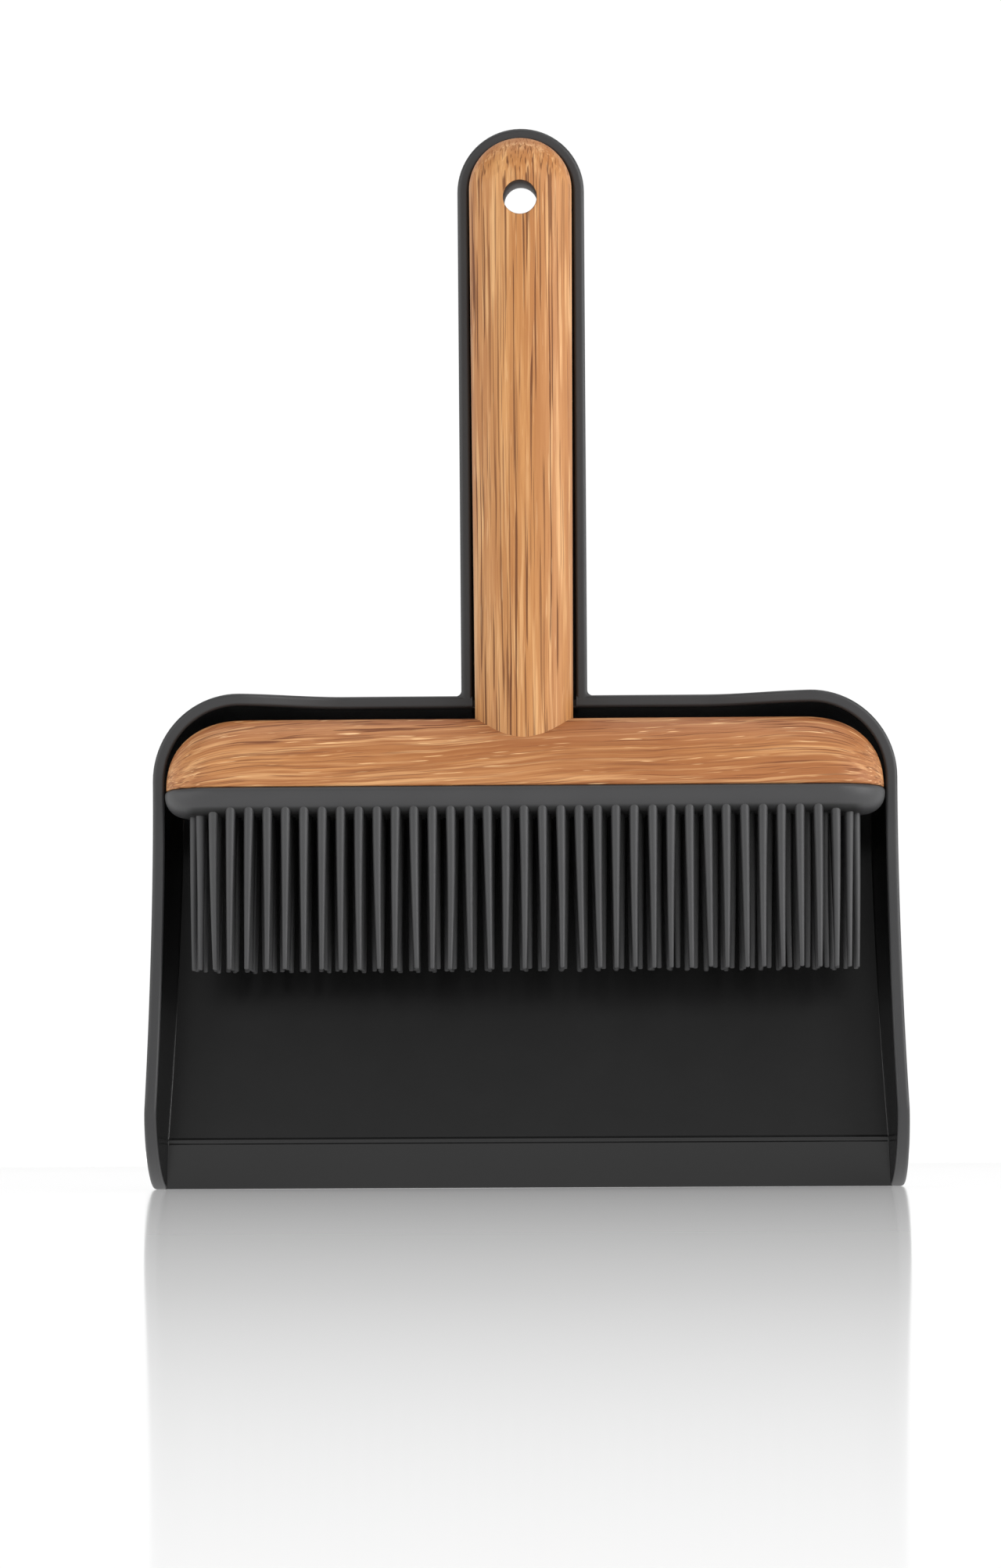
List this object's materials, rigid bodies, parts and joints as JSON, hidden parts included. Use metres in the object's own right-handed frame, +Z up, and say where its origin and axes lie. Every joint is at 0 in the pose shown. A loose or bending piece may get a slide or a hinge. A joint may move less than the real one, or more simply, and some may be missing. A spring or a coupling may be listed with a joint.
{
  "type": "dustpan and hand brush set",
  "caption": "Dustpan with an open tray handle and a T-shaped wooden hand brush with silicone bristles that nests in it and lifts out.",
  "frame": {"origin": "bottom centre of the bounding box, on the surface that the upright set stands on", "axes": "+X across the pan to the right seen from its open side, +Y from the open side towards the pan's floor, +Z up along the handle"},
  "size_m": [0.2446, 0.0862, 0.338],
  "materials": {
    "pan_plastic": "satin moulded rim and outside, glossier inside",
    "oak": "oiled oak",
    "dowel_wood": "plain",
    "plate_plastic": "moulded",
    "screw_steel": "zinc plated",
    "silicone": "matte silicone"
  },
  "bodies": {
    "dustpan": {"dustpan_shell": "pan_plastic"},
    "hand_brush": {"oak_handle": "oak", "oak_head": "oak", "handle_dowels": "dowel_wood", "bristle_base_plate": "plate_plastic", "base_plate_screws": "screw_steel", "silicone_bristle_pad": "silicone"}
  },
  "joints": [
    {"name": "brush_lift_out", "type": "slide", "parent": "dustpan", "child": "hand_brush", "axis": [0, -0.9914, -0.1305], "range_m": [0, 0.09]}
  ]
}
